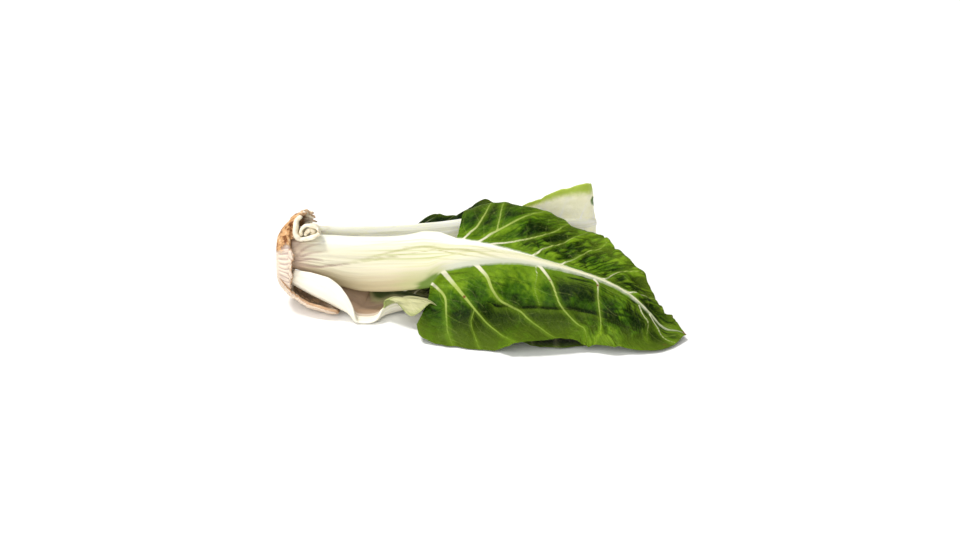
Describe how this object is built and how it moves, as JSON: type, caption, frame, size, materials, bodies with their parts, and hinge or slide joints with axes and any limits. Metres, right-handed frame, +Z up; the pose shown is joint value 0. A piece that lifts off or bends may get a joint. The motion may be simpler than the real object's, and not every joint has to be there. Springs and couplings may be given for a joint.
{
  "type": "swiss chard",
  "caption": "Head of swiss chard lying on its side: pale ribbed stalks from a cut crown with torn leaf bases, broad green leaves draped over and behind them.",
  "frame": {"origin": "under the middle of the bounding box, on the surface that the head lies on", "axes": "+X along the head from its cut face to the leaf tips, -Y towards the side that shows the large leaf, +Z up"},
  "size_m": [0.295, 0.185, 0.0755],
  "materials": {
    "crown": "cream plant tissue, matt, with torn brown edges",
    "dry_base": "reddish-brown drying leaf base, matt",
    "stalk": "ivory leaf stalk, moist, satin, lightly ribbed",
    "green_leaf": "green leaf with pale veins, waxy, puckered",
    "young_leaf": "yellow-green young leaf, waxy",
    "pale_leaf": "pale underside of a leaf, matt",
    "dark_leaf": "dark green leaf, waxy, puckered"
  },
  "bodies": {
    "root": {"crown": "crown", "stub_top": "crown", "stub_front": "crown", "stub_low": "dry_base", "main_leaf_stalk": "stalk", "main_leaf_blade": "green_leaf", "front_leaf_stalk": "stalk", "front_leaf_blade": "young_leaf", "tall_leaf_stalk": "stalk", "tall_leaf_blade": "pale_leaf", "back_leaf_stalk": "stalk", "back_leaf_blade": "dark_leaf", "heart_leaf_stalk": "stalk", "heart_leaf_blade": "young_leaf"}
  },
  "joints": []
}
